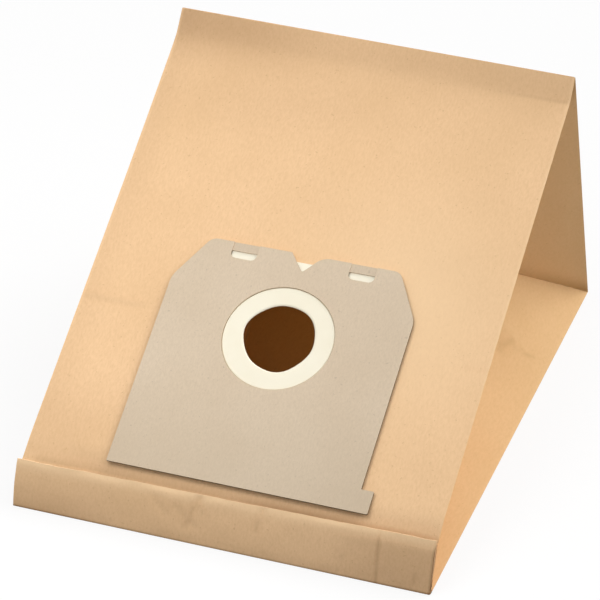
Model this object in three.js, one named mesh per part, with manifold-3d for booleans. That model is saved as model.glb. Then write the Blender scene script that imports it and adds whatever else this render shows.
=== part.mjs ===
// Vacuum dust bag, stood open: a paper bag with folded-in sides and a block bottom, whose filling
// end is folded up and glued, with a card collar plate and a sheet seal glued to its front panel.
// Millimetres, +Z up. The bag lies on its back panel; the end fold is nearest, at low Y, and the
// block bottom stands at the rear. The origin is under the middle of the bag.
import * as THREE from 'three';
import { mergeVertices } from 'three/addons/utils/BufferGeometryUtils.js';
import Module from 'manifold-3d';

const wasm = await Module();
wasm.setup();

// Paper bag
const bagWidth = 230;
const floorLength = 310;
const sideFold = 92;
const rearLean = THREE.MathUtils.degToRad(18.8);
const rimBand = 15;
const rimSlope = THREE.MathUtils.degToRad(50.7);
const paper = 0.8;
const edgeSetIn = 0.3;

// Glued end fold
const endFold = 28;
const endFoldLean = THREE.MathUtils.degToRad(71);
const endFoldThickness = 1.2;
const foldTip = 1.5;
const glueDepth = 6;

// Collar plate, measured from the middle of its cut-out
const collarCutout = 30.8;
const collarHalfWidth = 68.8;
const collarTop = 51.6;
const collarBottom = 88.3;
const collarThickness = 1.2;
const collarSetback = 6.8;
const chamferWidth = 15.2;
const chamferHeight = 27;
const cornerRadius = 4;
const keyWidth = 7;
const keyHeight = 13;
const keyRadius = 0.6;
const veeHalfWidth = 8.8;
const veeDepth = 10.8;
const veeCentre = 1;
const veeRoundSide = 5;
const veeRoundBottom = 1.5;
const veeSharpSide = 0.3;
const windowWidth = 14.6;
const windowDepth = 9.6;
const windowSpacing = 67;
const windowRadius = 3.5;
const tongueLength = 5;
const tongueThickness = 0.6;

// Sheet seal behind the collar plate
const sealThickness = 0.4;
const sealHalfWidth = 47;
const sealTopMargin = 4.6;
const sealBelow = 47;
const sealHole = 19.6;
const sealHoleRise = 0.6;
const sealHoleWave = 0.3;
const sealHoleLobes = 5;

// Clearances
const glueGap = 0.3;
const paperHoleMargin = 3;

// Fineness of the mesh
const curveSteps = 12;
const collarCurveSteps = 24;
const windowCurveSteps = 6;
const paperHoleSides = 64;
const sealHoleSides = 60;
const pocketStations = 8;
const mergeDistance = 1e-4;

// A cut starts just past the bag's edge and ends well past its side.
const justPast = 0.03;
const wellPast = 9;

// The bag's side outline, as points of (Y, Z)
const point = (y, z) => new THREE.Vector2(y, z);
const along = (angle) => point(Math.cos(angle), Math.sin(angle));
const rearBottom = point(floorLength, 0);
const rearTop = point(floorLength - 2 * sideFold * Math.sin(rearLean), 2 * sideFold * Math.cos(rearLean));
const rimCrease = rearTop.clone().addScaledVector(along(rimSlope), -rimBand);
const flapTop = along(endFoldLean).multiplyScalar(endFold);
const frontFoot = point(endFoldThickness / Math.sin(endFoldLean), 0);
const frontStart = flapTop.clone().addScaledVector(along(endFoldLean - Math.PI / 2), endFoldThickness);
const frontSlope = Math.atan2(rimCrease.y - frontStart.y, rimCrease.x - frontStart.x);
const frontLine = [frontFoot, frontStart, rimCrease, rearTop];
const foldedOutline = [point(0, 0), flapTop, frontStart, rimCrease, rearTop, rearBottom];
const roomOutline = [point(frontFoot.x + glueDepth, 0), frontStart, rimCrease, rearTop, rearBottom];

// The flat pattern folds each side in one sideFold deep. The fold's inner corner lies one sideFold
// from the ground edge and from the rear edge, and as far from the rear's top as from its bottom.
const cornerY = floorLength - sideFold;
const cornerZ = (rearTop.y ** 2 + (rearTop.x - cornerY) ** 2 - sideFold ** 2) / (2 * rearTop.y);
const sideX = bagWidth / 2 - edgeSetIn;

function closedGeometry(points, faces) {
  const geometry = new THREE.BufferGeometry();
  const positions = points.flatMap((p) => [p.x, p.y, p.z]);
  geometry.setAttribute('position', new THREE.Float32BufferAttribute(positions, 3));
  geometry.setIndex(faces.flat());
  return geometry;
}

function solid(geometry) {
  const bare = new THREE.BufferGeometry();
  bare.setAttribute('position', geometry.getAttribute('position'));
  bare.setIndex(geometry.getIndex());
  const merged = mergeVertices(bare, mergeDistance);
  const vertProperties = new Float32Array(merged.getAttribute('position').array);
  const triVerts = new Uint32Array(merged.getIndex().array);
  return new wasm.Manifold(new wasm.Mesh({ numProp: 3, vertProperties, triVerts }));
}

function geometryOf(manifold) {
  const mesh = manifold.getMesh();
  const geometry = new THREE.BufferGeometry();
  geometry.setAttribute('position', new THREE.BufferAttribute(mesh.vertProperties, 3));
  geometry.setIndex(new THREE.BufferAttribute(mesh.triVerts, 1));
  geometry.computeVertexNormals();
  return geometry;
}

function extruded(shape, depth, curveSegments = curveSteps) {
  return new THREE.ExtrudeGeometry(shape, { depth, bevelEnabled: false, curveSegments });
}

// Moves each side of a closed outline inwards by a distance.
function inset(outline, distance) {
  const count = outline.length;
  const sides = outline.map((start, i) => {
    const direction = outline[(i + 1) % count].clone().sub(start).normalize();
    const inward = point(direction.y, -direction.x);
    return { start: start.clone().addScaledVector(inward, distance), direction };
  });
  return sides.map((side, i) => {
    const last = sides[(i + count - 1) % count];
    const between = side.start.clone().sub(last.start);
    const reach = between.cross(side.direction) / last.direction.cross(side.direction);
    return last.start.clone().addScaledVector(last.direction, reach);
  });
}

// A side outline drawn across the whole width, less a margin at each side.
function crossBlock(outline, margin) {
  const block = extruded(new THREE.Shape(outline), bagWidth - 2 * margin);
  const turn = new THREE.Matrix4().makeBasis(
    new THREE.Vector3(0, 1, 0),
    new THREE.Vector3(0, 0, 1),
    new THREE.Vector3(1, 0, 0),
  );
  block.applyMatrix4(turn);
  block.translate(margin - bagWidth / 2, 0, 0);
  return solid(block);
}

// The point on the front's outline at a distance from the foot, measured up the paper.
function upTheFront(distance) {
  let left = distance;
  for (let i = 0; i + 1 < frontLine.length; i += 1) {
    const length = frontLine[i].distanceTo(frontLine[i + 1]);
    if (left <= length) return frontLine[i].clone().lerp(frontLine[i + 1], left / length);
    left -= length;
  }
  return rearTop.clone();
}

// Moves each corner of a closed mesh so that the faces around it all move outwards by a distance.
function grown(points, faces, distance) {
  if (distance === 0) return points;
  const softening = 0.01;
  const sums = points.map(() => ({ rows: new Array(9).fill(0), right: new THREE.Vector3() }));
  for (const face of faces) {
    const normal = new THREE.Vector3();
    new THREE.Triangle(points[face[0]], points[face[1]], points[face[2]]).getNormal(normal);
    const n = normal.toArray();
    for (const corner of face) {
      for (let i = 0; i < 9; i += 1) sums[corner].rows[i] += n[Math.floor(i / 3)] * n[i % 3];
      sums[corner].right.addScaledVector(normal, distance);
    }
  }
  return points.map((p, i) => {
    const [a, b, c, d, e, f, g, h, k] = sums[i].rows;
    const matrix = new THREE.Matrix3().set(
      a + softening, b, c,
      d, e + softening, f,
      g, h, k + softening,
    );
    return p.clone().add(sums[i].right.clone().applyMatrix3(matrix.invert()));
  });
}

// The room between the two halves of a folded-in side, reaching out past the side of the bag.
// Each row of corners runs from the fold's crease to the bag's edge and on past it.
function sidePocket(growth, mirrored) {
  const start = upTheFront(endFold);
  const startY = (frontFoot.x + endFold + start.x) / 2;
  const startZ = start.y / 2;
  const tipHeight = 2 * paper;
  const points = [];
  const creaseAt = (y, z) => new THREE.Vector3(sideX - Math.sqrt(sideFold ** 2 - z ** 2), y, z);
  const row = (crease, y, z) => {
    const edge = new THREE.Vector3(sideX, y, z);
    const depth = crease.distanceTo(edge);
    return [justPast, wellPast].map((past) => {
      const corner = edge.clone().lerp(crease, -past / depth);
      return points.push(corner) - 1;
    });
  };

  const tip = creaseAt(frontFoot.x + foldTip, tipHeight);
  const crease = [points.push(tip) - 1];
  const lower = [row(tip, tip.y, tip.z)];
  const upper = [lower[0]];
  for (let i = 0; i <= pocketStations; i += 1) {
    const share = i / pocketStations;
    const paperLength = THREE.MathUtils.lerp(endFold, cornerY - frontFoot.x, share);
    const y = THREE.MathUtils.lerp(startY, cornerY, share);
    const inner = creaseAt(y, THREE.MathUtils.lerp(startZ, cornerZ, share));
    const top = upTheFront(paperLength);
    crease.push(points.push(inner) - 1);
    lower.push(row(inner, frontFoot.x + paperLength, 0));
    upper.push(row(inner, top.x, top.y));
  }
  const corner = points[crease.at(-1)];
  lower.push(row(corner, rearBottom.x, rearBottom.y));
  upper.push(row(corner, rimCrease.x, rimCrease.y));
  upper.push(row(corner, rearTop.x, rearTop.y));

  const faces = [];
  const join = (inner, outer, flip) => {
    for (let i = 0; i + 1 < outer.length; i += 1) {
      const pair = [[inner[i], outer[i + 1], outer[i]], [inner[i], inner[i + 1], outer[i + 1]]];
      for (const face of pair) {
        if (new Set(face).size === 3) faces.push(flip ? face.reverse() : face);
      }
    }
  };
  const filled = (rows) => rows.map((unused, i) => crease[Math.min(i, crease.length - 1)]);
  const edges = (rows) => rows.map((pair) => pair[0]);
  const outsides = (rows) => rows.map((pair) => pair[1]);
  const rear = [lower.at(-1), upper.at(-1)];
  join(filled(lower), edges(lower), false);
  join(filled(upper), edges(upper), true);
  join([crease.at(-1), crease.at(-1)], edges(rear), false);
  join(edges(lower), outsides(lower), false);
  join(edges(upper), outsides(upper), true);
  join(edges(rear), outsides(rear), false);
  const rim = [...outsides(lower), ...outsides(upper).slice(1).reverse()];
  for (let i = 1; i + 1 < rim.length; i += 1) faces.push([rim[0], rim[i], rim[i + 1]]);

  const placed = grown(points, faces, growth);
  if (mirrored) {
    placed.forEach((p) => p.setX(-p.x));
    faces.forEach((face) => face.reverse());
  }
  return solid(closedGeometry(placed, faces));
}

// Places something drawn flat on the front panel, where Y runs up the panel and Z stands off it.
const panelPlace = new THREE.Matrix4()
  .makeRotationX(frontSlope)
  .setPosition(0, frontStart.x, frontStart.y);
const collarCentre = collarSetback + collarBottom;

function paperBag() {
  const skin = (outline, depth) => crossBlock(outline, depth)
    .subtract(sidePocket(depth, false))
    .subtract(sidePocket(depth, true));
  const holeRadius = sealHole + paperHoleMargin;
  const punchLength = 10 * paper;
  const punch = new THREE.CylinderGeometry(holeRadius, holeRadius, punchLength, paperHoleSides);
  punch.rotateX(Math.PI / 2);
  punch.translate(0, collarCentre, 0);
  punch.applyMatrix4(panelPlace);
  return skin(foldedOutline, 0)
    .subtract(skin(inset(roomOutline, paper), paper))
    .subtract(solid(punch));
}

// The collar plate's outline, with its corners rounded by the radius given beside each.
function roundedShape(corners) {
  const shape = new THREE.Shape();
  corners.forEach(([x, y, radius], i) => {
    const here = point(x, y);
    const before = point(...corners.at(i - 1));
    const after = point(...corners[(i + 1) % corners.length]);
    const entry = here.clone().add(before.sub(here).setLength(radius));
    const exit = here.clone().add(after.sub(here).setLength(radius));
    if (i === 0) shape.moveTo(entry.x, entry.y);
    else shape.lineTo(entry.x, entry.y);
    if (radius > 0) shape.quadraticCurveTo(x, y, exit.x, exit.y);
  });
  shape.closePath();
  return shape;
}

function collarPlate() {
  const keyEdge = collarHalfWidth + keyWidth;
  const keyTop = keyHeight - collarBottom;
  const shoulder = collarTop - chamferHeight;
  const topEnd = collarHalfWidth - chamferWidth;
  const shape = roundedShape([
    [-collarHalfWidth, -collarBottom, keyRadius],
    [keyEdge, -collarBottom, keyRadius],
    [keyEdge, keyTop, keyRadius],
    [collarHalfWidth, keyTop, keyRadius],
    [collarHalfWidth, shoulder, cornerRadius],
    [topEnd, collarTop, cornerRadius],
    [veeCentre + veeHalfWidth, collarTop, veeRoundSide],
    [veeCentre, collarTop - veeDepth, veeRoundBottom],
    [veeCentre - veeHalfWidth, collarTop, veeSharpSide],
    [-topEnd, collarTop, cornerRadius],
    [-collarHalfWidth, shoulder, cornerRadius],
  ]);
  const cutout = new THREE.Path();
  cutout.absarc(0, 0, collarCutout, 0, 2 * Math.PI, true);
  shape.holes.push(cutout);
  const cutDepth = 3 * collarThickness;
  let plate = solid(extruded(shape, collarThickness, collarCurveSteps));
  for (const side of [-1, 1]) {
    const middle = side * windowSpacing / 2;
    const left = middle - windowWidth / 2;
    const right = middle + windowWidth / 2;
    const low = collarTop - windowDepth;
    const high = collarTop - tongueLength;
    const opening = roundedShape([
      [left, low, windowRadius],
      [right, low, windowRadius],
      [right, high, 0],
      [left, high, 0],
    ]);
    const through = extruded(opening, cutDepth, windowCurveSteps);
    through.translate(0, 0, (collarThickness - cutDepth) / 2);
    // The cut above the tongue is centred on the plate's top edge, so half of it is on the plate.
    const step = new THREE.BoxGeometry(windowWidth, 2 * tongueLength, collarThickness);
    step.translate(middle, collarTop, tongueThickness + collarThickness / 2);
    plate = plate.subtract(solid(through)).subtract(solid(step));
  }
  return plate;
}

function sheetSeal() {
  const top = collarTop - sealTopMargin;
  const shape = roundedShape([
    [-sealHalfWidth, -sealBelow, cornerRadius],
    [sealHalfWidth, -sealBelow, cornerRadius],
    [sealHalfWidth, top, cornerRadius],
    [-sealHalfWidth, top, cornerRadius],
  ]);
  const rim = Array.from({ length: sealHoleSides }, (unused, i) => {
    const angle = -2 * Math.PI * i / sealHoleSides;
    const radius = sealHole + sealHoleWave * Math.cos(sealHoleLobes * angle);
    return point(radius * Math.cos(angle), sealHoleRise + radius * Math.sin(angle));
  });
  shape.holes.push(new THREE.Path(rim));
  return solid(extruded(shape, sealThickness));
}

const paperLook = new THREE.MeshStandardMaterial({ color: 0xd9a974, roughness: 0.9, metalness: 0 });
const cardLook = new THREE.MeshStandardMaterial({ color: 0xc9b497, roughness: 0.85, metalness: 0 });
const sealLook = new THREE.MeshStandardMaterial({ color: 0xf3ecd8, roughness: 0.7, metalness: 0 });

function named(name, manifold, material) {
  const mesh = new THREE.Mesh(geometryOf(manifold), material);
  mesh.name = name;
  return mesh;
}

const seal = named('seal_sheet', sheetSeal(), sealLook);
seal.position.z = glueGap;
const collar = named('collar_plate', collarPlate(), cardLook);
collar.position.z = seal.position.z + sealThickness + glueGap;

const frontPanel = new THREE.Group();
frontPanel.applyMatrix4(panelPlace);
const collarPlace = new THREE.Group();
collarPlace.position.y = collarCentre;
collarPlace.add(seal, collar);
frontPanel.add(collarPlace);

const dustBag = new THREE.Group();
dustBag.add(named('paper_bag', paperBag(), paperLook), frontPanel);
dustBag.position.y = -floorLength / 2;

export default dustBag;
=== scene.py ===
import math

import bpy
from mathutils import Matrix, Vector, noise


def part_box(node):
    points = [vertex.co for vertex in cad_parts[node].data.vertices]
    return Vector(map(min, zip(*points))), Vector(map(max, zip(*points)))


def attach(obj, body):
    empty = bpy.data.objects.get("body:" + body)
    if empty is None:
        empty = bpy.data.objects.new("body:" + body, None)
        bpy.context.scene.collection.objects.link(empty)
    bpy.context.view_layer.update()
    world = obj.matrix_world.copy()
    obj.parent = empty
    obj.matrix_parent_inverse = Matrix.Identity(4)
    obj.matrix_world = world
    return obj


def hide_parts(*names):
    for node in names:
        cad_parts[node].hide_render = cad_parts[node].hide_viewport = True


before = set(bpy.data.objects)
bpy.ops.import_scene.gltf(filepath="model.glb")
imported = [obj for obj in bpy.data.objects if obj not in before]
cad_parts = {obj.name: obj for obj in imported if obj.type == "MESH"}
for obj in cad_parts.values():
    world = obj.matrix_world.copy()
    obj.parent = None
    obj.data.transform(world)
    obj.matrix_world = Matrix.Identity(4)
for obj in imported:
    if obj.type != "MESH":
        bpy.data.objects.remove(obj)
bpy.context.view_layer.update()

MM = 0.001

# Paper bag, lying on its back panel. Its width and length come from the paper_bag part of
# model.glb.
bag_low, bag_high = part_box("paper_bag")
HALF_WIDTH = bag_high.x
NEAR = bag_low.y
REAR = bag_high.y
SIDE_FOLD = 92 * MM
REAR_LEAN = math.radians(18.8)
RIM_BAND = 15 * MM
RIM_SLOPE = math.radians(50.7)
PAPER = 0.5 * MM

# Near tip of each side fold's inner crease
TIP_SETBACK = 1.5 * MM
TIP_HEIGHT = 1.6 * MM

# Glued end fold
END_FOLD = 28 * MM
END_FOLD_LEAN = math.radians(71)
END_FOLD_THICKNESS = 1.2 * MM
END_FOLD_OVERHANG = 2.3 * MM
END_FOLD_CORNER = 1.2 * MM
END_FOLD_BOTTOM = 0.9 * MM
END_FOLD_LEFT = 26.3 * MM
END_FOLD_RIGHT = 29.4 * MM
END_FOLD_INNER = 1.1 * MM
TUBE_SEAM = 85 * MM

# Flaps that close the block bottom
BOTTOM_FLAP = 104 * MM
BOTTOM_FLAP_PLY = 0.25 * MM

# Collar plate and the seal under it, measured from the middle of the filling hole
COLLAR_CENTRE = 95.1 * MM
PAPER_HOLE = 22.6 * MM
PAPER_HOLE_RISE = 0.6 * MM
SEAL_HOLE = 19.6 * MM
SEAL_HOLE_MIDDLE = Vector((0.38, 0.05)) * MM
SEAL_HALF_WIDTH = 47 * MM
SEAL_LIFT = 0.9 * MM
RING_LIFT = 1.75 * MM
SEAL_THICKNESS = 0.3 * MM
PLATE_FACE = 2.2 * MM
TONGUE_FROM = 46.3 * MM
COLLAR_CUTOUT = 31 * MM

# Unevenness of the seal's hole: waves around it, their height in mm and their turn
HOLE_WAVES = (
    (1, 0.29, -1.71),
    (2, 0.15, 2.02),
    (3, 0.41, -2.37),
    (4, 0.15, 0.71),
    (6, 0.2, 1.28),
)

# Spacing of the mesh over a panel, a finer part and a bottom flap, and the two fine rows beside
# each crease
SPACING = 3.4 * MM
FINE_SPACING = 1.9 * MM
FLAP_SPACING = 4 * MM
BESIDE_CREASE = (0.6 * MM, 1.7 * MM)

# Where paper has its full thickness, away from a crease, and the share of it left in the crease
FULL_PAPER = 12 * MM
THINNEST = 0.03

# Points closer than this are one, and edges flatter than this are shaded round
WELD = 0.02 * MM
ROUND_UNDER = math.radians(28)

# Camera and light
LOOK_AT = Vector((-10.34, -0.04, 60)) * MM
CAMERA_AZIMUTH = math.radians(19.547)
CAMERA_ELEVATION = math.radians(32.254)
CAMERA_DISTANCE = 1.7097
CAMERA_LENS = 186
WORLD_LIGHT = 0.28
FLOOR_SHADOW = 0.14

# Suns by direction and strength
SUNS = (
    ((0, 0.643, 0.766), 0.65),
    ((0.5, 0.6, 0.7), 1.46),
    ((0.8, 0, 0.7), 0.47),
)
SUN_SPREAD = math.radians(40)

# Soft boxes by place, target and power
SOFT_BOXES = (
    ((-0.12, -0.25, 0.55), (-0.03, 0, 0.1), 1.15),
    ((-0.4, -0.55, 0.25), (-0.08, -0.15, 0.02), 0.42),
)
SOFT_BOX_SIZE = 0.3

# Lamp inside the bag
PAPER_GLOW = 0.017
PAPER_GLOW_COLOUR = (1, 0.8, 0.33)
PAPER_GLOW_PLACE = (0, 0.06, 0.1)


def side_point(y, z):
    return Vector((y, z))


def along(angle):
    return side_point(math.cos(angle), math.sin(angle))


def smooth(share):
    share = min(max(share, 0), 1)
    return share * share * (3 - 2 * share)


def bell(away, reach):
    """1 on a place, fading softly to nearly 0 at twice the reach away from it."""
    return math.exp(-(away / reach) ** 2)


near_edge = side_point(NEAR, 0)
rear_bottom = side_point(REAR, 0)
rear_top = rear_bottom + 2 * SIDE_FOLD * along(math.pi / 2 + REAR_LEAN)
rim_crease = rear_top - RIM_BAND * along(RIM_SLOPE)
flap_top = near_edge + END_FOLD * along(END_FOLD_LEAN)
front_foot = near_edge + side_point(END_FOLD_THICKNESS / math.sin(END_FOLD_LEAN), 0)
front_start = flap_top + END_FOLD_THICKNESS * along(END_FOLD_LEAN - math.pi / 2)

# Lengths of paper, measured from the foot of the front
near_wall = (front_start - front_foot).length
panel_length = (rim_crease - front_start).length
panel_up = (rim_crease - front_start).normalized()
panel_out = Vector((0, -panel_up.y, panel_up.x))
panel_along = Vector((0, panel_up.x, panel_up.y))
rim_at = near_wall + panel_length
top_at = rim_at + RIM_BAND
corner_at = REAR - SIDE_FOLD - front_foot.x
floor_end = REAR - front_foot.x
flat_fold_at = top_at - 2 * SIDE_FOLD

# The rim's slant starts above the collar plate
twist_from = near_wall + COLLAR_CENTRE + 78 * MM


def rim_shift(x):
    """The rim stands a little higher at its left end, and lower at its right."""
    return (0.5 - 1.8 * x / HALF_WIDTH) * MM


def crease_shift(x):
    """Where the front's lowest crease lies: low at its left end, behind the end fold elsewhere."""
    low = -1.5 * MM * along(END_FOLD_LEAN)
    behind = -2.2 * MM * side_point(panel_out.y, panel_out.z)
    return low.lerp(behind, smooth((x + 100 * MM) / (25 * MM)))


def on_panel(x, up, out=0.0):
    """A point on the front panel, at a distance up from its start and out from its face."""
    base = Vector((x, front_start.x, front_start.y))
    return base + up * panel_along + out * panel_out


def waves(x, y, reach, seed):
    """Smooth unevenness between -1 and 1, with hollows about one reach wide."""
    return noise.noise(Vector((x / reach, y / reach, seed)))


def stops(start, end, spacing=SPACING):
    """Places from start to end, evenly spaced but with fine rows beside both ends."""
    inner = [start + gap for gap in BESIDE_CREASE]
    outer = [end - gap for gap in reversed(BESIDE_CREASE)]
    count = max(1, round((outer[0] - inner[-1]) / spacing))
    step = (outer[0] - inner[-1]) / count
    middle = [inner[-1] + step * i for i in range(1, count)]
    return [start, *inner, *middle, *outer, end]


across_stops = stops(-HALF_WIDTH, HALF_WIDTH)
near_stops = stops(0, near_wall)
to_corner_stops = near_stops[:-1] + stops(near_wall, corner_at)
front_stops = to_corner_stops[:-1] + stops(corner_at, rim_at)[:-1] + stops(rim_at, top_at)
floor_stops = to_corner_stops[:-1] + stops(corner_at, floor_end)
rear_stops = stops(0, 2 * SIDE_FOLD)
half_stops = [place / SIDE_FOLD for place in stops(0, SIDE_FOLD, FINE_SPACING)]


def clear_selection():
    if bpy.context.object and bpy.context.object.mode != "OBJECT":
        bpy.ops.object.mode_set(mode="OBJECT")
    bpy.ops.object.select_all(action="DESELECT")


def pick(*pieces):
    clear_selection()
    for piece in pieces:
        piece.select_set(True)
    bpy.context.view_layer.objects.active = pieces[0]


def grid(name, columns, rows, place, marks_and_light=None, from_crease=None, warm=0.0):
    """Adds a grid and lays it out: place(i, j) gives the point of column i and row j.

    The mark at (i, j) is 1 for a dark seam or painted shade, and -1 for a painted highlight.
    from_crease(i, j) is how far it is to a crease, where the inner side has no room.
    warm is 1 where the paper is a warmer brown.
    """
    clear_selection()
    bpy.ops.mesh.primitive_grid_add(x_subdivisions=columns, y_subdivisions=rows, size=1)
    piece = bpy.context.object
    piece.name = name
    places = [
        (round((vertex.co.x + 0.5) * columns), round((vertex.co.y + 0.5) * rows))
        for vertex in piece.data.vertices
    ]
    body = piece.vertex_groups.new(name="body")
    for i, (column, row) in enumerate(places):
        piece.data.vertices[i].co = place(column, row)
        full = smooth(from_crease(column, row) / FULL_PAPER) if from_crease else 1
        body.add([i], full, "REPLACE")
    marks = piece.data.attributes.new("marks_and_light", "FLOAT", "POINT")
    marks.data.foreach_set("value", [marks_and_light(*spot) if marks_and_light else 0 for spot in places])
    tones = piece.data.attributes.new("warm", "FLOAT", "POINT")
    tones.data.foreach_set("value", [warm] * len(places))
    return piece


def join(name, pieces, closed=False):
    """Joins pieces into one and welds the points they share. A closed one has its ends filled."""
    pick(*pieces)
    bpy.ops.object.join()
    whole = bpy.context.object
    whole.name = name
    whole.data.name = name
    bpy.ops.object.mode_set(mode="EDIT")
    bpy.ops.mesh.select_all(action="SELECT")
    bpy.ops.mesh.remove_doubles(threshold=WELD)
    if closed:
        bpy.ops.mesh.fill_holes(sides=0)
        bpy.ops.mesh.select_all(action="SELECT")
    bpy.ops.mesh.normals_make_consistent(inside=False)
    bpy.ops.object.mode_set(mode="OBJECT")
    return whole


def thicken(piece, thickness, offset=-1):
    pick(piece)
    solidify = piece.modifiers.new("paper", "SOLIDIFY")
    solidify.thickness = thickness
    solidify.offset = offset
    solidify.vertex_group = "body"
    solidify.thickness_vertex_group = THINNEST
    bpy.ops.object.modifier_apply(modifier=solidify.name)


def shade(piece):
    pick(piece)
    bpy.ops.object.shade_smooth_by_angle(angle=ROUND_UNDER)


def front_line(x, s):
    """The front's profile. Its rim crease is rounded, and sharpest at the right end."""
    softness = (1.2 + 4 * smooth((HALF_WIDTH - x) / (70 * MM))) * MM
    past = s - rim_at
    if s <= near_wall:
        return front_foot.lerp(front_start, s / near_wall)
    if past < -softness:
        return front_start.lerp(rim_crease, (s - near_wall) / panel_length)
    if past > softness:
        return rim_crease + past * along(RIM_SLOPE)
    share = (past + softness) / (2 * softness)
    before = rim_crease - softness * panel_up
    after = rim_crease + softness * along(RIM_SLOPE)
    return before.lerp(rim_crease, share).lerp(rim_crease.lerp(after, share), share)


def front_point(x, s):
    """The front's outer face: up the near wall, up the panel and over the rim band."""
    place = front_line(x, s)
    near_crease = s / near_wall if s < near_wall else 1 - smooth((s - near_wall) / (14 * MM))
    place = place + near_crease * crease_shift(x)
    twist = max(0, (s - twist_from) / (top_at - twist_from)) ** 1.5
    return Vector((x, place.x, place.y + twist * rim_shift(x)))


def flat_fold(x, s):
    """1 in the old crease where the block bottom lay folded against the front."""
    ends = smooth((x - 92 * MM) / (12 * MM)) + smooth((-x - 72 * MM) / (14 * MM))
    return bell(s - flat_fold_at, 1.5 * MM) * ends


def front_relief(x, s):
    """How far the front panel's paper stands in or out."""
    to_edge = min(HALF_WIDTH - abs(x), s - near_wall, top_at - s)
    free = smooth(to_edge / (14 * MM))
    from_collar = max(abs(x) - 78 * MM, s - near_wall - 148 * MM)
    free *= smooth(from_collar / (20 * MM))
    swell = 0.9 * waves(x, s, 75 * MM, 3.1) + 0.3 * waves(x, s, 24 * MM, 8.7)
    fold = 0.2 * flat_fold(x, s) * smooth(to_edge / (3 * MM))
    return (swell * free - fold) * MM


def front_marks_and_light(x, s):
    """Painted light on the front: highlights on its edges, shade in its creases and above the end
    fold, and wide patches of shade and light.
    """
    up = s - near_wall
    to_rim = rim_at - s
    # Painted highlight along the panel's side edges, above its lower part
    painted_panel_edge_highlight = bell(HALF_WIDTH - abs(x), 0.7 * MM) * smooth((s - 60 * MM) / (120 * MM))
    # Painted shade in the rim crease, towards its right end
    rim = bell(to_rim, 0.9 * MM) * smooth((x - 60 * MM) / (50 * MM))
    # Painted shade on the left part of the rim band, below the rim
    painted_left_shade = 0.06 + 0.26 * smooth((-x - 10 * MM) / (80 * MM))
    painted_left_shade *= smooth((24 * MM - to_rim) / (34 * MM))
    # Painted shadow on the panel just above the end fold's top edge
    painted_fold_shadow = bell(up - 2 * MM, 2.2 * MM) * smooth((x + 112 * MM) / (8 * MM))
    painted_fold_shadow *= 0.3 + 0.3 * smooth((x + 10 * MM) / (40 * MM))
    painted_fold_shadow *= 0.8 + 0.4 * waves(x, 0, 30 * MM, 71.9)
    # Painted shade on the panel's lower left part
    painted_low_shade = smooth((-x - 50 * MM) / (45 * MM)) * smooth((70 * MM - up) / (50 * MM))
    # Painted shade in wide patches: near the top left of the panel and along its left side
    painted_shade_patches = bell(x + 48 * MM, 62 * MM) * bell(to_rim - 30 * MM, 22 * MM)
    painted_shade_patches += 0.8 * smooth((-x - 92 * MM) / (22 * MM)) * smooth(up / (90 * MM))
    # Painted light in a wide patch on the middle right of the panel
    painted_light_patch = bell(x - 60 * MM, 55 * MM) * bell(up - 125 * MM, 60 * MM)
    # Painted shade also darkens the old flat-fold crease
    marks = 0.1 * flat_fold(x, s) + 0.12 * rim + painted_left_shade + painted_fold_shadow + 0.14 * painted_low_shade + 0.1 * painted_shade_patches
    return marks - 0.45 * painted_panel_edge_highlight - 0.5 * painted_light_patch


def rear_point(x, s, out=0.0):
    """The rear wall's outer face, at a height of paper from the ground."""
    to_edge = min(HALF_WIDTH - abs(x), s, 2 * SIDE_FOLD - s)
    relief = 0.8 * waves(x, s, 60 * MM, 31.7) * smooth(to_edge / (14 * MM)) * MM
    place = rear_bottom + s * along(math.pi / 2 + REAR_LEAN) + (relief + out) * along(REAR_LEAN)
    return Vector((x, place.x, place.y + rim_shift(x) * s / (2 * SIDE_FOLD)))


# Height of a side fold's inner corner: it lies a square's diagonal away from the rear wall's top,
# where the square's sides are as long as the side fold is deep
to_rear_top = rear_top.x - REAR + SIDE_FOLD
corner_height = (rear_top.y ** 2 + to_rear_top ** 2 - SIDE_FOLD ** 2) / (2 * rear_top.y)

# Where the side fold's inner crease leaves the end fold, halfway between floor and front
fold_start = front_point(0, END_FOLD)
fold_start_y = (front_foot.x + END_FOLD + fold_start.y) / 2
fold_start_z = fold_start.z / 2


def crease_point(s):
    """The inner crease of the right side fold, at a length of paper from the foot."""
    tip_y = front_foot.x + TIP_SETBACK
    if s < END_FOLD:
        share = s / END_FOLD
        y = tip_y + share * (fold_start_y - tip_y)
        z = TIP_HEIGHT + share * (fold_start_z - TIP_HEIGHT)
    else:
        share = min((s - END_FOLD) / (corner_at - END_FOLD), 1)
        y = fold_start_y + share * (REAR - SIDE_FOLD - fold_start_y)
        z = fold_start_z + share * (corner_height - fold_start_z)
    return Vector((HALF_WIDTH - math.sqrt(SIDE_FOLD ** 2 - z ** 2), y, z))


def near_line(x, up, start, end, reach):
    """1 on the line between two places on a face, given in mm, and a bell beside it."""
    start, end, place = Vector(start) * MM, Vector(end) * MM, Vector((x, up))
    share = (place - start).dot(end - start) / (end - start).length_squared
    away = (place - start.lerp(end, min(max(share, 0), 1))).length
    return bell(away, reach)


def side_pucker(point):
    """Short creases where the right side fold's lower face meets its corner."""
    return max(
        near_line(point.x, point.y, (95.5, 61), (91, 47.5), 1.3 * MM),
        0.8 * near_line(point.x, point.y, (87, 54), (92.5, 48.5), 2.2 * MM),
        0.9 * near_line(point.x, point.y, (103, 60.5), (107.5, 65), 1.1 * MM),
        0.5 * near_line(point.x, point.y, (96, 58), (103, 61), 1.4 * MM),
    )


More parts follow.
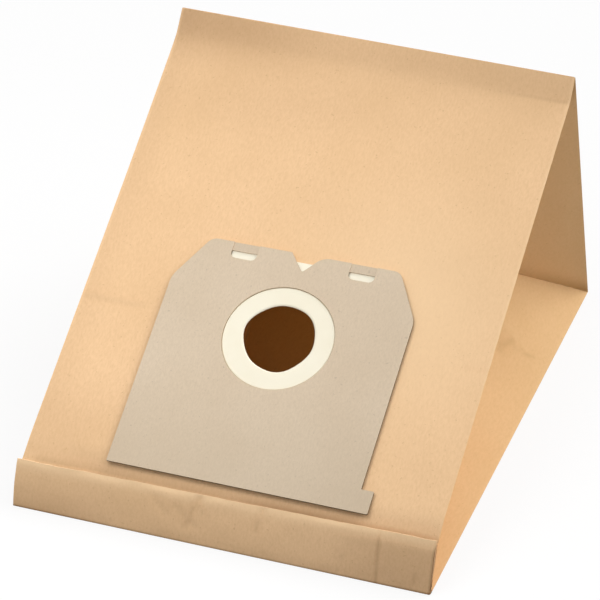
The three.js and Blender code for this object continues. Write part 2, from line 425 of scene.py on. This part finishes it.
def side_half(name, side, inner, outer, seed, corner_shade=0.0, pucker=False):
    """One face of a side fold, from its crease or corner points to its edge points."""
    pairs = list(zip(inner, outer))
    middle = pairs[len(pairs) // 2]
    face_across = middle[1] - middle[0]
    face_along = pairs[-1][1] - pairs[0][1]
    out = face_across.cross(face_along).normalized()

    def place(column, row):
        start, end = pairs[row]
        share = half_stops[column]
        point = start.lerp(end, share)
        depth = share * (end - start).length
        run = row / (len(pairs) - 1)
        free = smooth(min(share, 1 - share) * 7) * smooth(min(run, 1 - run) * 9)
        swell = 1.1 * waves(point.y, depth, 60 * MM, seed)
        swell += 0.3 * waves(point.y, depth, 18 * MM, seed + 5)
        if pucker:
            swell -= 0.7 * side_pucker(point)
        point = point + out * swell * free * MM
        return Vector((side * point.x, point.y, point.z))

    def marks_and_light(column, row):
        share = half_stops[column]
        # Painted highlight on the outer edge, and painted shade in the crease, in the low corner
        # by the rear wall's foot, in the wrinkles and high up under the rim
        edge = bell((1 - share) * SIDE_FOLD, 0.7 * MM)
        crease = bell(share * SIDE_FOLD, 1.5 * MM)
        from_first = share * (pairs[row][1] - pairs[0][1]).length
        shade_at = corner_shade * share ** 2 * bell(from_first, 7 * MM)
        point = pairs[row][0].lerp(pairs[row][1], share)
        pressed = 0.22 * side_pucker(point) if pucker else 0
        painted_shade_under_rim = 0.6 * smooth((point.z - 154 * MM) / (10 * MM))
        return 0.3 * crease - 0.3 * edge + shade_at + pressed + painted_shade_under_rim

    def from_crease(column, row):
        start, end = pairs[row]
        share = half_stops[column]
        run = (start.lerp(end, share) - pairs[0][0].lerp(pairs[0][1], share)).length
        return min(share * SIDE_FOLD, (1 - share) * SIDE_FOLD, 0.4 * run)

    return grid(name, len(half_stops) - 1, len(pairs) - 1, place, marks_and_light, from_crease, 1)


def side_fold(side):
    """The five faces of the right (1) or left (-1) side fold, meeting at its inner corner."""
    corner = crease_point(corner_at)
    seed = 11.5 if side > 0 else 23.5
    ground = [Vector((HALF_WIDTH, front_foot.x + s, 0)) for s in floor_stops]
    front = [front_point(side * HALF_WIDTH, s) for s in front_stops]
    front = [Vector((HALF_WIDTH, point.y, point.z)) for point in front]
    rear = [rear_point(side * HALF_WIDTH, s) for s in rear_stops]
    rear = [Vector((HALF_WIDTH, point.y, point.z)) for point in rear]
    creases = [crease_point(s) for s in to_corner_stops]
    count = len(creases)
    lower_rest = ground[count - 1:]
    front_rest = front[count - 1:]
    lower_corners = [corner] * len(lower_rest)
    return [
        side_half("lower_half", side, creases, ground[:count], seed, 0, side > 0),
        side_half("upper_half", side, creases, front[:count], seed + 1),
        side_half("lower_corner", side, lower_corners, lower_rest, seed + 2, 0, side > 0),
        side_half("upper_corner", side, [corner] * len(front_rest), front_rest, seed + 3),
        side_half("rear_corner", side, [corner] * len(rear), rear, seed + 4, 0.9),
    ]


def paper_bag():
    """The folded tube of paper with its side folds and the filling hole, as one piece."""
    columns = len(across_stops) - 1

    def front_place(column, row):
        x, s = across_stops[column], front_stops[row]
        point = front_point(x, s)
        return point + front_relief(x, s) * panel_out

    def floor_place(column, row):
        return Vector((across_stops[column], front_foot.x + floor_stops[row], 0))

    def rear_place(column, row):
        return rear_point(across_stops[column], rear_stops[row])

    def marks_and_light(column, row):
        return front_marks_and_light(across_stops[column], front_stops[row])

    def edges_of(lengths):
        def from_crease(column, row):
            length = lengths[row]
            return min(HALF_WIDTH - abs(across_stops[column]), length, lengths[-1] - length)
        return from_crease

    panels = [
        grid("front", columns, len(front_stops) - 1, front_place, marks_and_light, edges_of(front_stops)),
        grid("floor", columns, len(floor_stops) - 1, floor_place, None, edges_of(floor_stops)),
        grid("rear", columns, len(rear_stops) - 1, rear_place, None, edges_of(rear_stops)),
        *side_fold(1),
        *side_fold(-1),
    ]
    bag = join("kraft_bag", panels)
    thicken(bag, PAPER)
    punch_hole(bag)
    shade(bag)
    return bag


def punch_hole(bag):
    clear_selection()
    middle = on_panel(0, COLLAR_CENTRE + PAPER_HOLE_RISE)
    turn = math.atan2(panel_up.y, panel_up.x)
    bpy.ops.mesh.primitive_cylinder_add(
        vertices=96, radius=PAPER_HOLE, depth=12 * MM, location=middle, rotation=(turn, 0, 0))
    punch = bpy.context.object
    cut = bag.modifiers.new("filling hole", "BOOLEAN")
    cut.operation = "DIFFERENCE"
    cut.object = punch
    pick(bag)
    bpy.ops.object.modifier_apply(modifier=cut.name)
    bpy.data.objects.remove(punch)


def end_fold_marks(x, up):
    """Creases pressed into the end fold: where the tube's seam runs, and where it puckers."""
    seam = near_line(x, up, (85.6, 0), (84.6, 29), 0.9 * MM)
    seam *= 0.6 + 0.4 * waves(x, up, 9 * MM, 61.3)
    puckers = [
        near_line(x, up, (-13.8, 27), (-20, 9), 1.3 * MM),
        near_line(x, up, (-13.8, 27), (-12, 18), 1.1 * MM),
        0.7 * near_line(x, up, (-27, 20), (-15, 11), 1.6 * MM),
        near_line(x, up, (20.7, 27), (19, 15), 1.3 * MM),
        0.6 * near_line(x, up, (-39, 22), (-31, 15), 1.8 * MM),
        0.5 * near_line(x, up, (66, 12), (65, 3), 0.9 * MM),
        0.6 * near_line(x, up, (106, 10), (105.4, 4), 0.7 * MM),
    ]
    return seam, max(puckers)


def end_fold():
    """The bag's near end, folded up over the front panel and glued: a closed strip."""
    left = -HALF_WIDTH - END_FOLD_OVERHANG
    across = stops(left, TUBE_SEAM, FINE_SPACING)
    across += stops(TUBE_SEAM, HALF_WIDTH, FINE_SPACING)[1:]
    # Heights of the outer rows in mm, closest at the round bottom and the glued edge
    outer = [0, 0.12, 0.3, 0.55, 0.9, 1.6, 2.6]
    outer += [2.6 + 1.7 * step for step in range(1, 12)]
    outer += [22.8, 24, 25.1, 26.1, 26.9, 27.5, 28]
    outer_rows = [(up * MM / END_FOLD, False) for up in outer]
    inner_rows = [(share, True) for share in (1, 0.86, 0.6, 0.3, 0)]
    profile = outer_rows + inner_rows + outer_rows[:1]

    def height_at(x):
        share = (x + HALF_WIDTH) / (2 * HALF_WIDTH)
        whole = END_FOLD_LEFT + (END_FOLD_RIGHT - END_FOLD_LEFT) * share
        return whole + (0.5 * waves(x, 0, 26 * MM, 41.3) + 0.22 * waves(x, 0, 6 * MM, 47.3)) * MM

    def place(column, row):
        x = across[column]
        height = height_at(x)
        share, behind = profile[row]
        up = share * height
        curl = max(0, 1 - (height - up) / (5 * MM)) ** 2
        curl *= 0.3 + 0.6 * smooth((x + 100 * MM) / (25 * MM))
        if behind:
            thinned = 0.25 * smooth(1 - (height - up) / (3 * MM))
            back = END_FOLD_INNER + (0.6 * curl - thinned) * MM
        else:
            under = max(END_FOLD_BOTTOM - up, 0)
            back = END_FOLD_BOTTOM - math.sqrt(END_FOLD_BOTTOM ** 2 - under ** 2) + curl * MM
            seam, pucker = end_fold_marks(x, up)
            swell = 0.6 * waves(x, up, 24 * MM, 52.9) + 0.32 * waves(x, up, 9 * MM, 57.1)
            swell += 0.8 * math.sin(math.pi * min(up / height, 1))
            step = 0.2 * smooth((TUBE_SEAM - x) / (1.2 * MM)) - 0.1
            free = smooth(up / (5 * MM)) * smooth((height - up) / (2 * MM))
            back -= (swell + step - 0.25 * seam - 0.8 * pucker) * free * MM
        inset = END_FOLD_CORNER - up
        if inset > 0 and x > HALF_WIDTH - END_FOLD_CORNER:
            reach = (x - HALF_WIDTH) / END_FOLD_CORNER + 1
            x -= reach * (END_FOLD_CORNER - math.sqrt(END_FOLD_CORNER ** 2 - inset ** 2))
        side = near_edge + up * along(END_FOLD_LEAN) + back * along(END_FOLD_LEAN - math.pi / 2)
        return Vector((x, side.x, max(side.y, 0.1 * MM)))

    def marks_and_light(column, row):
        x = across[column]
        share, behind = profile[row]
        if behind:
            return 0
        height = height_at(x)
        up = share * height
        seam, pucker = end_fold_marks(x, up)
        # Painted highlight on the rounded top, strongest at the very edge
        painted_top_edge_highlight = smooth((up - height + 2 * MM) / (2 * MM))
        painted_top_highlight = smooth((up - height + 8 * MM) / (8 * MM))
        # Painted shade on the end fold's lower left part
        painted_left_shade = (1 - up / height) ** 2 * smooth((-x - 50 * MM) / (45 * MM))
        # Painted shade along the bottom where it meets the floor, and at the right end where the
        # paper's layers part
        bottom = 1 - smooth(up / (1.9 * MM))
        end = bell(HALF_WIDTH - x, 0.7 * MM)
        # Painted shade on the right part, below the top
        painted_right_shade = 0.22 * smooth((x - 45 * MM) / (50 * MM)) * smooth((height - up) / (6 * MM))
        # A dark line on the seam, and painted shade in the puckers
        lines = 0.36 * seam + 0.17 * pucker + 0.8 * bottom + 0.7 * end
        return lines + painted_right_shade + 0.26 * painted_left_shade - 0.15 * painted_top_edge_highlight - 0.5 * painted_top_highlight

    strip = grid("end_fold", len(across) - 1, len(profile) - 1, place, marks_and_light)
    strip = join("end_fold", [strip], closed=True)
    shade(strip)
    return strip


def bottom_flap(name, from_top):
    """One of the two glued flaps that close the block bottom, on the rear wall."""
    columns = 60
    rows = stops(0, BOTTOM_FLAP, FLAP_SPACING)

    def place(column, row):
        height = rows[row]
        half = HALF_WIDTH - 0.5 * MM - min(height, SIDE_FOLD - 1.5 * MM)
        x = half * (2 * column / columns - 1)
        lift = BOTTOM_FLAP_PLY
        if not from_top:
            lift += 1.4 * BOTTOM_FLAP_PLY * smooth((height - 70 * MM) / (10 * MM))
        return rear_point(x, 2 * SIDE_FOLD - height if from_top else height, lift)

    def marks_and_light(column, row):
        # Painted highlight on the free edge, and painted shade along the two sides
        edge = bell(BOTTOM_FLAP - rows[row], 0.8 * MM)
        return -0.4 * edge + (0.35 if column in (0, columns) else 0)

    flap = grid(name, columns, len(rows) - 1, place, marks_and_light)
    thicken(flap, BOTTOM_FLAP_PLY, 0)
    shade(flap)
    return flap


def seal_sheet():
    """The cream sheet: a ring that fills the plate's cut-out, and a square under the plate."""
    around = 120
    # Rows as shares of the way from the hole to the cut-out, and from there to the outer edge
    ring = [0, 0.01, 0.03, 0.06, 0.1, 0.2, 0.35, 0.5, 0.65, 0.8, 0.9, 0.94, 0.955, 0.97, 0.985, 1]
    square = [0.15, 0.4, 0.7, 1]

    def hole_radius(angle):
        uneven = sum(size * math.cos(count * angle + turn) for count, size, turn in HOLE_WAVES)
        return SEAL_HOLE + uneven * MM

    def outer_point(angle):
        x, y = math.cos(angle), math.sin(angle)
        scale = SEAL_HALF_WIDTH / max(abs(x), abs(y))
        return Vector((x, y)) * scale

    def place(column, row):
        angle = 2 * math.pi * column / around
        outward = Vector((math.cos(angle), math.sin(angle)))
        rim = outward * (COLLAR_CUTOUT - 0.15 * MM)
        if row < len(ring):
            flat = (SEAL_HOLE_MIDDLE + outward * hole_radius(angle)).lerp(rim, ring[row])
            lip = 0.5 * MM * max(0, 1 - ring[row] / 0.08) ** 2
            lift = SEAL_LIFT + (RING_LIFT - SEAL_LIFT) * smooth((1 - ring[row]) / 0.05) - lip
        else:
            flat = rim.lerp(outer_point(angle), square[row - len(ring)])
            lift = SEAL_LIFT
        return on_panel(flat.x, COLLAR_CENTRE + flat.y, lift)

    sheet = grid("cream_seal", around, len(ring + square) - 1, place)
    sheet = join("cream_seal", [sheet])
    thicken(sheet, SEAL_THICKNESS)
    shade(sheet)
    return sheet


def paint(red, green, blue):
    """A colour written as 0 to 255 on screen, as the shader takes it."""
    def linear(value):
        value /= 255
        return value / 12.92 if value <= 0.04045 else ((value + 0.055) / 1.055) ** 2.4
    return linear(red), linear(green), linear(blue), 1


class Finish:
    """A material, and short calls that add and link its nodes."""

    def __init__(self, name, roughness):
        self.material = bpy.data.materials.new(name)
        self.material.use_nodes = True
        self.tree = self.material.node_tree
        self.shader = self.tree.nodes["Principled BSDF"]
        self.shader.inputs["Roughness"].default_value = roughness
        self.shader.inputs["Specular IOR Level"].default_value = 0.25
        self.place = self.tree.nodes.new("ShaderNodeTexCoord").outputs["Object"]

    def link(self, source, target):
        self.tree.links.new(source, target)

    def stretched(self, scale, turn=(0, 0, 0)):
        mapping = self.tree.nodes.new("ShaderNodeMapping")
        mapping.inputs["Scale"].default_value = scale
        mapping.inputs["Rotation"].default_value = turn
        self.link(self.place, mapping.inputs["Vector"])
        return mapping.outputs["Vector"]

    def noise(self, scale, detail=2, vector=None, roughness=0.5):
        node = self.tree.nodes.new("ShaderNodeTexNoise")
        node.inputs["Scale"].default_value = scale
        node.inputs["Detail"].default_value = detail
        node.inputs["Roughness"].default_value = roughness
        self.link(vector or self.place, node.inputs["Vector"])
        return node.outputs["Fac"]

    def ramp(self, source, low, high):
        node = self.tree.nodes.new("ShaderNodeMapRange")
        node.inputs["From Min"].default_value = low
        node.inputs["From Max"].default_value = high
        self.link(source, node.inputs["Value"])
        return node.outputs["Result"]

    def scaled(self, source, amount):
        node = self.tree.nodes.new("ShaderNodeMath")
        node.operation = "MULTIPLY"
        node.inputs[1].default_value = amount
        self.link(source, node.inputs[0])
        return node.outputs[0]

    def mix(self, share, first, second):
        node = self.tree.nodes.new("ShaderNodeMix")
        node.data_type = "RGBA"
        self.link(share, node.inputs["Factor"])
        for value, socket in ((first, node.inputs[6]), (second, node.inputs[7])):
            if isinstance(value, tuple):
                socket.default_value = value
            else:
                self.link(value, socket)
        return node.outputs[2]

    def marked(self, colour, dark, pale):
        """Darker and paler paint led by the piece's own marks: seams, painted shade and painted
        highlights.
        """
        marks_and_light = self.told("marks_and_light")
        colour = self.mix(self.ramp(marks_and_light, 0, 1), colour, dark)
        return self.mix(self.ramp(marks_and_light, 0, -1), colour, pale)

    def told(self, name):
        """What the piece's own attribute says at each point."""
        node = self.tree.nodes.new("ShaderNodeAttribute")
        node.attribute_name = name
        return node.outputs["Fac"]

    def along(self, direction, low, high):
        """From 0 to 1 between two places along a direction."""
        node = self.tree.nodes.new("ShaderNodeVectorMath")
        node.operation = "DOT_PRODUCT"
        node.inputs[1].default_value = direction
        self.link(self.place, node.inputs[0])
        return self.ramp(node.outputs["Value"], low, high)

    def near(self, middle, reach):
        """1 closer to a point than the reach, and 0 a millimetre further away."""
        node = self.tree.nodes.new("ShaderNodeVectorMath")
        node.operation = "DISTANCE"
        node.inputs[1].default_value = middle
        self.link(self.place, node.inputs[0])
        return self.ramp(node.outputs["Value"], reach + 1 * MM, reach)

    def less(self, whole, part):
        node = self.tree.nodes.new("ShaderNodeMath")
        node.operation = "SUBTRACT"
        node.use_clamp = True
        self.link(whole, node.inputs[0])
        self.link(part, node.inputs[1])
        return node.outputs[0]

    def bump(self, height, strength, distance):
        node = self.tree.nodes.new("ShaderNodeBump")
        node.inputs["Strength"].default_value = strength
        node.inputs["Distance"].default_value = distance
        self.link(height, node.inputs["Height"])
        self.link(node.outputs["Normal"], self.shader.inputs["Normal"])

    def colour(self, source):
        self.link(source, self.shader.inputs["Base Color"])


def kraft_finish():
    finish = Finish("kraft paper", 0.85)
    cloud = finish.ramp(finish.noise(16, 3), 0.3, 0.7)
    colour = finish.mix(cloud, paint(240, 200, 154), paint(247, 207, 162))
    fibres = finish.noise(900, 3, finish.stretched((1, 0.35, 0.6), (0.2, 0, 0.3)), 0.6)
    threads = finish.scaled(finish.ramp(fibres, 0.35, 0.75), 0.5)
    colour = finish.mix(threads, colour, paint(226, 184, 136))
    specks = finish.ramp(finish.noise(640, 1), 0.70, 0.78)
    colour = finish.mix(finish.scaled(specks, 0.35), colour, paint(196, 150, 104))
    # Dark paint for seams and painted shade, pale paint for painted highlights
    colour = finish.marked(colour, paint(150, 108, 68), paint(255, 221, 177))
    warm = finish.scaled(finish.told("warm"), 0.3)
    finish.colour(finish.mix(warm, colour, paint(240, 192, 118)))
    finish.bump(fibres, 0.25, 0.15 * MM)
    return finish.material


def card_finish():
    finish = Finish("grey card", 0.8)
    cloud = finish.ramp(finish.noise(22, 3), 0.3, 0.7)
    colour = finish.mix(cloud, paint(216, 196, 170), paint(222, 203, 178))
    fibres = finish.noise(1100, 3, finish.stretched((1, 0.5, 0.5), (0.5, 0, 0.8)), 0.65)
    threads = finish.scaled(finish.ramp(fibres, 0.35, 0.75), 0.45)
    colour = finish.mix(threads, colour, paint(196, 176, 150))
    specks = finish.ramp(finish.noise(700, 1), 0.70, 0.78)
    colour = finish.mix(finish.scaled(specks, 0.3), colour, paint(150, 132, 112))
    # Painted shade: the plate is darker towards its lower end
    upper_at = on_panel(0, COLLAR_CENTRE - 30 * MM).dot(panel_along)
    lower_at = on_panel(0, COLLAR_CENTRE - 80 * MM).dot(panel_along)
    painted_low_shade = finish.scaled(finish.along(panel_along, upper_at, lower_at), 0.28)
    colour = finish.mix(painted_low_shade, colour, paint(188, 170, 144))

    # Cut edges are darker, partly the card's own edge colour and partly painted shadow of the gap
    # under the plate: all below the face, but for the top with its tongues and the cut-out
    face_at = on_panel(0, 0, PLATE_FACE - 0.15 * MM).dot(panel_out)
    tongues_at = on_panel(0, COLLAR_CENTRE + TONGUE_FROM).dot(panel_along)
    low = finish.along(panel_out, face_at, face_at - 0.1 * MM)
    tongue = finish.along(panel_along, tongues_at, tongues_at + 0.2 * MM)
    low = finish.less(low, finish.scaled(tongue, 0.93))
    low = finish.less(low, finish.near(on_panel(0, COLLAR_CENTRE), COLLAR_CUTOUT + 3 * MM))
    finish.colour(finish.mix(low, colour, paint(106, 90, 60)))
    finish.bump(fibres, 0.12, 0.1 * MM)
    return finish.material


def cream_finish():
    finish = Finish("cream seal", 0.6)
    cloud = finish.ramp(finish.noise(60, 2), 0.3, 0.7)
    ring = finish.near(on_panel(0, COLLAR_CENTRE), COLLAR_CUTOUT + 1 * MM)
    colour = finish.mix(cloud, paint(247, 239, 216), paint(250, 243, 222))
    # Painted light: the sheet under the plate, seen through its windows and notch, is brighter
    # than in the cut-out, against the shade there
    finish.colour(finish.mix(ring, paint(255, 248, 227), colour))
    finish.bump(finish.noise(500, 2), 0.1, 0.1 * MM)
    return finish.material


def finished(piece, material):
    piece.data.materials.clear()
    piece.data.materials.append(material)
    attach(piece, "root")


def add_camera():
    level = Vector((math.sin(CAMERA_AZIMUTH), -math.cos(CAMERA_AZIMUTH), 0))
    offset = math.cos(CAMERA_ELEVATION) * level + math.sin(CAMERA_ELEVATION) * Vector((0, 0, 1))
    bpy.ops.object.camera_add(location=LOOK_AT + CAMERA_DISTANCE * offset)
    camera = bpy.context.object
    camera.rotation_euler = offset.to_track_quat("Z", "Y").to_euler()
    camera.data.lens = CAMERA_LENS
    camera.data.sensor_width = 36
    bpy.context.scene.camera = camera


def aim(lamp, direction):
    lamp.rotation_euler = Vector(direction).to_track_quat("Z", "Y").to_euler()


def add_sun(direction, energy):
    """Even light from far away in one direction."""
    bpy.ops.object.light_add(type="SUN", location=(0, 0, 1.5))
    lamp = bpy.context.object
    aim(lamp, direction)
    lamp.data.energy = energy
    lamp.data.angle = SUN_SPREAD


def add_soft_box(place, target, power):
    bpy.ops.object.light_add(type="AREA", location=place)
    lamp = bpy.context.object
    aim(lamp, Vector(place) - Vector(target))
    lamp.data.size = SOFT_BOX_SIZE
    lamp.data.energy = power


def add_paper_glow():
    """The daylight that thin paper lets through, as a weak warm lamp inside the bag."""
    bpy.ops.object.light_add(type="POINT", location=PAPER_GLOW_PLACE)
    lamp = bpy.context.object
    lamp.data.color = PAPER_GLOW_COLOUR
    lamp.data.energy = PAPER_GLOW
    lamp.data.shadow_soft_size = 0.02
    lamp.visible_camera = False


def seen_share(tree):
    """1 for rays that the camera sees by, straight or in a reflection, and 0 for light."""
    paths = tree.nodes.new("ShaderNodeLightPath")
    seen = paths.outputs["Is Camera Ray"]
    for name in ("Is Glossy Ray", "Is Transmission Ray"):
        either = tree.nodes.new("ShaderNodeMath")
        either.operation = "MAXIMUM"
        tree.links.new(seen, either.inputs[0])
        tree.links.new(paths.outputs[name], either.inputs[1])
        seen = either.outputs[0]
    return seen


def add_light():
    world = bpy.data.worlds.new("studio")
    world.use_nodes = True
    tree = world.node_tree
    background = tree.nodes["Background"]
    background.inputs["Color"].default_value = (1, 1, 1, 1)
    strength = tree.nodes.new("ShaderNodeMapRange")
    strength.inputs["To Min"].default_value = WORLD_LIGHT
    strength.inputs["To Max"].default_value = 1
    tree.links.new(seen_share(tree), strength.inputs["Value"])
    tree.links.new(strength.outputs["Result"], background.inputs["Strength"])
    bpy.context.scene.world = world
    for direction, energy in SUNS:
        add_sun(direction, energy)
    for place, target, power in SOFT_BOXES:
        add_soft_box(place, target, power)
    add_paper_glow()


def add_floor():
    """A white floor that keeps a faint shadow, and throws back less light than it shows."""
    clear_selection()
    bpy.ops.mesh.primitive_plane_add(size=8, location=(0, 0, -0.1 * MM))
    floor = bpy.context.object
    floor.name = "studio_floor"
    material = bpy.data.materials.new("white floor")
    material.use_nodes = True
    tree = material.node_tree
    tree.nodes.remove(tree.nodes["Principled BSDF"])
    glow = tree.nodes.new("ShaderNodeEmission")
    glow.inputs["Strength"].default_value = 0.995
    shown = tree.nodes.new("ShaderNodeBsdfDiffuse")
    shown.inputs["Color"].default_value = (0.98, 0.98, 0.98, 1)
    thrown = tree.nodes.new("ShaderNodeBsdfDiffuse")
    thrown.inputs["Color"].default_value = (0.45, 0.45, 0.45, 1)
    seen = tree.nodes.new("ShaderNodeMixShader")
    seen.inputs["Fac"].default_value = FLOOR_SHADOW
    tree.links.new(glow.outputs[0], seen.inputs[1])
    tree.links.new(shown.outputs[0], seen.inputs[2])
    whole = tree.nodes.new("ShaderNodeMixShader")
    tree.links.new(seen_share(tree), whole.inputs["Fac"])
    tree.links.new(thrown.outputs[0], whole.inputs[1])
    tree.links.new(seen.outputs[0], whole.inputs[2])
    tree.links.new(whole.outputs[0], tree.nodes["Material Output"].inputs["Surface"])
    floor.data.materials.append(material)


bpy.context.scene.view_settings.view_transform = "Standard"
add_camera()
add_light()
add_floor()

kraft = kraft_finish()
card = card_finish()
cream = cream_finish()

bag = paper_bag()
finished(bag, kraft)
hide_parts("paper_bag")

flap = end_fold()
finished(flap, kraft)

for name, from_top in (("upper_bottom_flap", True), ("lower_bottom_flap", False)):
    finished(bottom_flap(name, from_top), kraft)

seal = seal_sheet()
finished(seal, cream)
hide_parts("seal_sheet")

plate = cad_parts["collar_plate"]
plate.data.materials.clear()
plate.data.materials.append(card)
